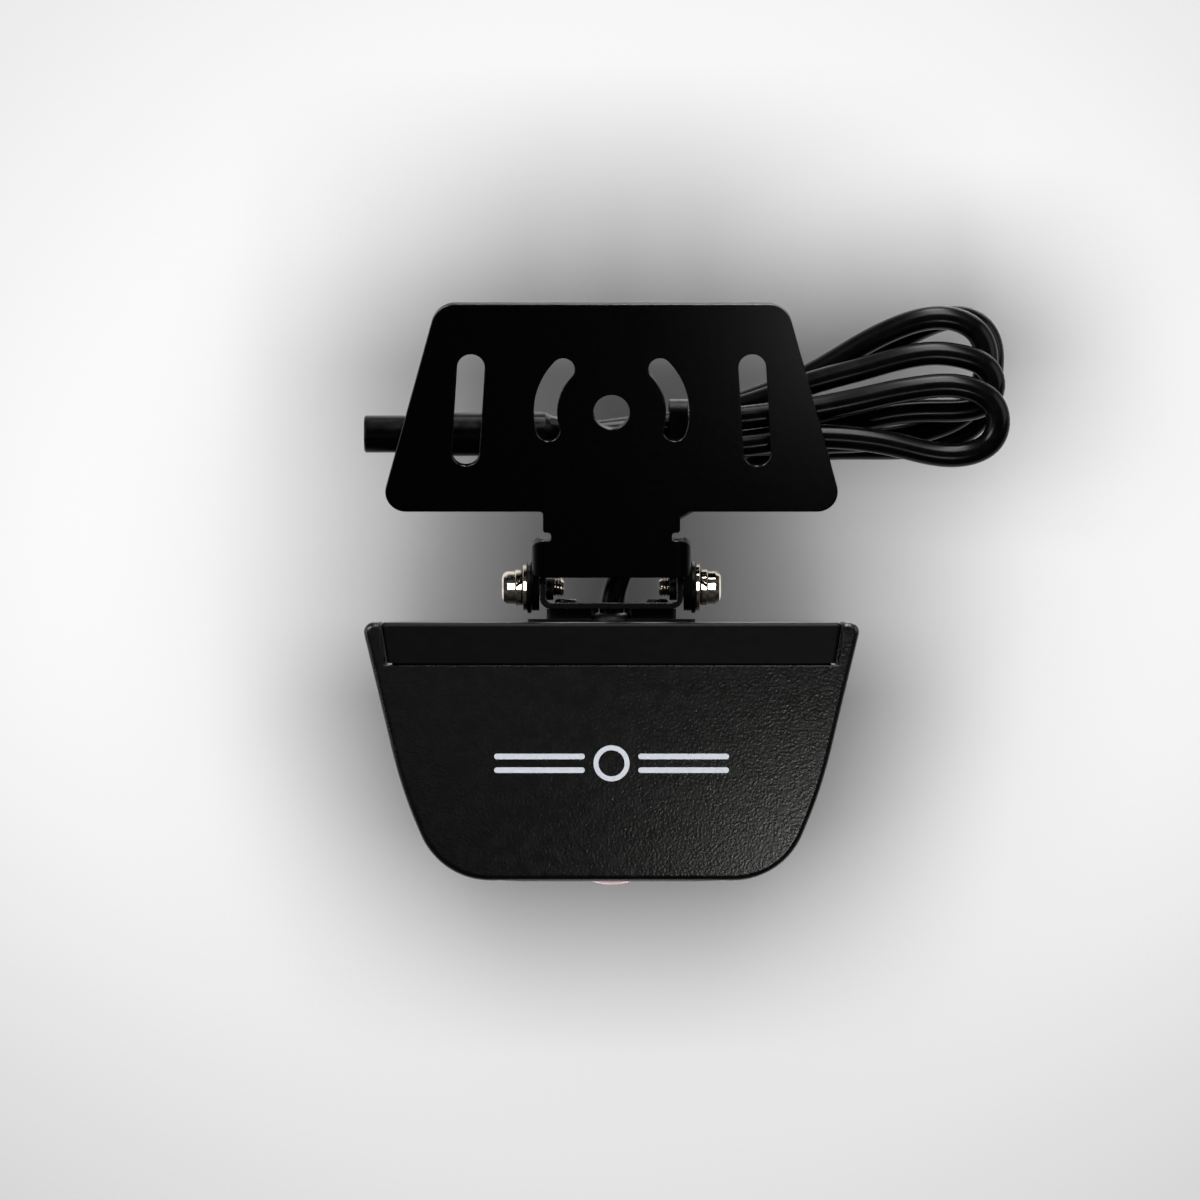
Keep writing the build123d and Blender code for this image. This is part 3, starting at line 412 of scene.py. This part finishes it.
# out of the front layer and leftward into the plug: x, up, back
TAIL = [(10.5, -1.6, LAYER_1 - 0.05), (4.0, -2.4, LAYER_1 - 0.5), (-2.0, -3.1, LAYER_1 - 1.3),
        (-6.5, PLUG_UP, PLUG_BACK), (-9.3, PLUG_UP, PLUG_BACK), (-12.0, PLUG_UP, PLUG_BACK)]
ROUTE = (LEAD + LOOP_4 + left_turn(LAYER_4) + LOOP_3 + left_turn(LAYER_3)
         + LOOP_2 + left_turn(LAYER_2) + LOOP_1 + TAIL)


def running_length(spans):
    return np.concatenate([[0], np.cumsum(spans)])


def smooth_path(points, step):
    """Natural cubic spline through the points, resampled at an even step in metres."""
    knots = np.array([tuple(mm(*point)) for point in points])
    spans = np.linalg.norm(np.diff(knots, axis=0), axis=1)
    along = running_length(spans)
    count = len(knots)

    # solve for the second derivative at each knot, zero at both ends
    system = np.zeros((count, count))
    target = np.zeros((count, 3))
    system[0, 0] = system[-1, -1] = 1
    for i in range(1, count - 1):
        before, after = spans[i - 1], spans[i]
        system[i, i - 1], system[i, i], system[i, i + 1] = before, 2 * (before + after), after
        target[i] = 6 * ((knots[i + 1] - knots[i]) / after - (knots[i] - knots[i - 1]) / before)
    bend = np.linalg.solve(system, target)

    # sample eight times finer than the step, then even out
    fine = np.linspace(0, along[-1], int(along[-1] / step) * 8)
    k = np.clip(np.searchsorted(along, fine, side="right") - 1, 0, count - 2)
    ahead, passed = (along[k + 1] - fine)[:, None], (fine - along[k])[:, None]
    span = spans[k][:, None]
    curve = (bend[k] * ahead ** 3 + bend[k + 1] * passed ** 3) / (6 * span) \
        + (knots[k] / span - bend[k] * span / 6) * ahead \
        + (knots[k + 1] / span - bend[k + 1] * span / 6) * passed
    length = running_length(np.linalg.norm(np.diff(curve, axis=0), axis=1))
    even = np.linspace(0, length[-1], int(round(length[-1] / step)) + 1)
    return np.stack([np.interp(even, length, curve[:, i]) for i in range(3)], axis=1)


def tube(name, path, radius, sides):
    """A closed round tube along a path, with frames carried without twist."""
    tangents = np.gradient(path, axis=0)
    tangents /= np.linalg.norm(tangents, axis=1)[:, None]
    side = np.cross(tangents[0], (0.3, 0.9, 0.1))
    side /= np.linalg.norm(side)
    angles = np.linspace(0, 2 * np.pi, sides, endpoint=False)
    verts, faces = [], []
    for i, (centre, tangent) in enumerate(zip(path, tangents)):
        side = side - tangent * np.dot(side, tangent)
        side /= np.linalg.norm(side)
        other = np.cross(tangent, side)
        verts += [tuple(centre + radius * (np.cos(angle) * side + np.sin(angle) * other))
                  for angle in angles]
        if i:
            last, this = (i - 1) * sides, i * sides
            faces += [(last + j, last + (j + 1) % sides, this + (j + 1) % sides, this + j)
                      for j in range(sides)]
    faces.append(tuple(reversed(range(sides))))
    faces.append(tuple(range((len(path) - 1) * sides, len(path) * sides)))
    mesh = bpy.data.meshes.new(name)
    mesh.from_pydata(verts, [], faces)
    mesh.validate()
    # the wall is smooth, the end caps flat
    for face in mesh.polygons:
        face.use_smooth = len(face.vertices) == 4
    mesh.update()
    return add_object(name, mesh)


cable = tube("cable", smooth_path(ROUTE, CABLE_STEP / 1000), CABLE_RADIUS / 1000, CABLE_SIDES)
cable.data.materials.append(CABLE_PVC.mat)
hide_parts("cable_lead", "cable_coil")
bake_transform(cable)


# ---------------------------------------------------------------------------
# backdrop: a pale sheet behind the object, square to the view, with painted shade round the
# object in its colour
# ---------------------------------------------------------------------------
BACKDROP_HALF = 2.4  # metres
BACKDROP_CELLS = 12
BACKDROP_CENTRE = mm(VIEW_X, VIEW_UP, BACKDROP_BACK)


def backdrop_paper():
    paper = Material("backdrop_paper", color=(0.80, 0.80, 0.80), rough=0.9, spec=0.1)
    paper.bump(scale=900, depth=0.12, strength=0.25, detail=3)
    # the painted shade belongs to the main view; from elsewhere the sheet is plain
    in_view = paper.vector_math("DOT_PRODUCT", paper.node("NewGeometry").outputs["Incoming"],
                                mm(0, 0, -1).normalized())
    along_view = paper.ramp(in_view, 0.955, 0.985, soft=True)

    # paints shade into the sheet's colour, only along the main view
    def shade(value, low, high, start, end, grey):
        amount = paper.ramp(value, low, high, start, end, soft=True)
        paper.mix_color(paper.math("MULTIPLY", amount, along_view), (grey, grey, grey))

    def distance_to(place):
        return paper.vector_math("DISTANCE", paper.coords, place)

    # painted shade: a wide round one, a smaller darker one inside it, then darker towards the
    # bottom
    shade(distance_to(BACKDROP_CENTRE + Vector((0.006, 0, 0.001))),
          low=-0.02, high=0.115, start=1.0, end=0.0, grey=0.32)
    shade(distance_to(mm(8, -20, BACKDROP_BACK)),
          low=0.0, high=0.075, start=0.20, end=0.0, grey=0.10)
    shade(paper.node("SeparateXYZ", {0: paper.coords}).outputs["Z"],
          low=-0.18, high=-0.03, start=0.34, end=0.0, grey=0.32)

    # the sheet casts no shadow, and is not there from behind or from well off the main view
    geometry = paper.node("NewGeometry")
    ray = paper.node("LightPath").outputs
    unseen = paper.math("MAXIMUM", geometry.outputs["Backfacing"], ray["Is Shadow Ray"])
    aside = paper.ramp(in_view, 0.80, 0.93, start=1.0, end=0.0, soft=True)
    seen_aside = paper.math("MULTIPLY", ray["Is Camera Ray"], aside)
    hidden = paper.math("MAXIMUM", unseen, seen_aside)
    clear = paper.node("BsdfTransparent")
    paper.surface(paper.node("MixShader", {"Fac": hidden, 1: paper.bsdf.outputs[0],
                                           2: clear.outputs[0]}))
    return paper.mat


def backdrop():
    right, up = Vector((1, 0, 0)), Vector((0, SIN_TILT, COS_TILT))
    steps = [2 * i / BACKDROP_CELLS - 1 for i in range(BACKDROP_CELLS + 1)]
    verts = [tuple(BACKDROP_CENTRE + right * across * BACKDROP_HALF + up * rise * BACKDROP_HALF)
             for rise in steps for across in steps]
    row = len(steps)
    corners = [j * row + i for j in range(BACKDROP_CELLS) for i in range(BACKDROP_CELLS)]
    faces = [(k, k + 1, k + row + 1, k + row) for k in corners]
    mesh = bpy.data.meshes.new("backdrop")
    mesh.from_pydata(verts, [], faces)
    obj = add_object("backdrop", mesh)
    mesh.materials.append(backdrop_paper())
    return obj


sheet = backdrop()


# ---------------------------------------------------------------------------
# light
# ---------------------------------------------------------------------------
WHITE = (1, 1, 1)
FAINT_WARM = (1.0, 0.99, 0.97)
WARM = (1.0, 0.98, 0.94)

only_sheet = bpy.data.collections.new("backdrop_only")
only_sheet.objects.link(sheet)
only_object = bpy.data.collections.new("object_only")
only_metal = bpy.data.collections.new("metal_only")
for piece in list(NODES.values()) + [cable]:
    group = only_metal if piece.name in NICKEL_PIECES else only_object
    group.objects.link(piece)


def softbox(name, at, size, watts, aim=MIDDLE, color=WHITE, receivers=only_object):
    """Area light; at and aim are in the view frame, size is width and height in metres."""
    data = bpy.data.lights.new(name, "AREA")
    data.shape = "RECTANGLE"
    data.size, data.size_y = size
    data.energy = watts
    data.color = color
    obj = add_object(name, data)
    obj.location = mm(*at)
    obj.rotation_euler = facing(mm(*aim) - mm(*at))
    obj.visible_camera = False
    obj.light_linking.receiver_collection = receivers
    return obj


def sheet_sun():
    data = bpy.data.lights.new("sheet_sun", "SUN")
    data.energy = 0.80
    data.angle = math.radians(40)
    obj = add_object("sheet_sun", data)
    obj.rotation_euler = facing(mm(0, 3, 100))
    obj.light_linking.receiver_collection = only_sheet


# frontal lights: leave a soft shadow on the sheet all round the object
softbox("sheet_box", at=(-3, -34, -240), aim=(-2, -30, BACKDROP_BACK), size=(0.165, 0.16),
        watts=1.10, receivers=only_sheet)
sheet_sun()
# long box over the top, for the upper edges and the line along the cable
softbox("top_box", at=(60, 420, -150), size=(0.60, 0.12), watts=4.6, color=FAINT_WARM)
# small boxes in front, for the sheen on the right and left of the camera's top face
softbox("sheen_box", at=(52, -92, -150), aim=(34, -76, 5), size=(0.030, 0.030),
        watts=0.053, color=(1.0, 0.98, 0.95))
softbox("soft_box", at=(-34, -42, -170), aim=(-24, -52, 5), size=(0.060, 0.050),
        watts=0.0022, color=(1.0, 0.99, 0.98))
# key from the upper left
softbox("key_box", at=(-300, 250, -350), size=(0.20, 0.20), watts=2.2, color=FAINT_WARM)
# the plated screws have boxes of their own, before and behind: bright bands, dark rims
METAL = {"aim": (0, -32, 10), "color": WARM, "receivers": only_metal}
softbox("metal_front", at=(-30, 10, -420), size=(0.22, 0.30), watts=3.4, **METAL)
softbox("metal_top", at=(-120, 400, -120), size=(0.12, 0.08), watts=0.8, **METAL)
softbox("metal_back", at=(120, 60, 420), size=(0.20, 0.20), watts=1.8, **METAL)
# behind the object, above: thin lit rims along the upper edges
softbox("rim_box", at=(140, 330, 390), size=(0.34, 0.16), watts=5.0)
# soft fill from the left, the right and below
softbox("left_fill", at=(-460, 60, -60), size=(0.30, 0.40), watts=0.9)
softbox("right_fill", at=(430, 150, -150), size=(0.32, 0.32), watts=0.8)
under = softbox("under_fill", at=(-60, -460, 260), size=(0.40, 0.30), watts=1.0)
under.visible_glossy = False


def studio_world():
    """Pale grey to the view, a dim cool fill to everything else."""
    world = bpy.data.worlds.new("studio")
    SCENE.world = world
    world.use_nodes = True
    tree = world.node_tree
    tree.nodes.clear()
    path = add_node(tree, "LightPath")
    seen = add_node(tree, "Background", {"Color": (0.78, 0.78, 0.78, 1)})
    fill = add_node(tree, "Background", {"Color": (0.80, 0.82, 0.85, 1), "Strength": 0.05})
    mix = add_node(tree, "MixShader", {"Fac": path.outputs["Is Camera Ray"],
                                       1: fill.outputs[0], 2: seen.outputs[0]})
    add_node(tree, "OutputWorld", {"Surface": mix.outputs[0]})


studio_world()

# ---------------------------------------------------------------------------
# view: square to the camera body's flat top, from well back
# ---------------------------------------------------------------------------
VIEW_DISTANCE = 1200.0
FRAME_WIDTH = 193.5
SENSOR_WIDTH = 36.0

view_data = bpy.data.cameras.new("view")
view_data.sensor_width = SENSOR_WIDTH
view_data.lens = SENSOR_WIDTH * VIEW_DISTANCE / FRAME_WIDTH
view_data.clip_start = 0.01
view_data.clip_end = 20.0
view = add_object("view", view_data)
view.location = mm(VIEW_X, VIEW_UP, VIEW_BACK - VIEW_DISTANCE)
view.rotation_euler = facing(mm(0, 0, 1))
SCENE.camera = view

SCENE.view_settings.view_transform = "Standard"
SCENE.view_settings.look = "None"
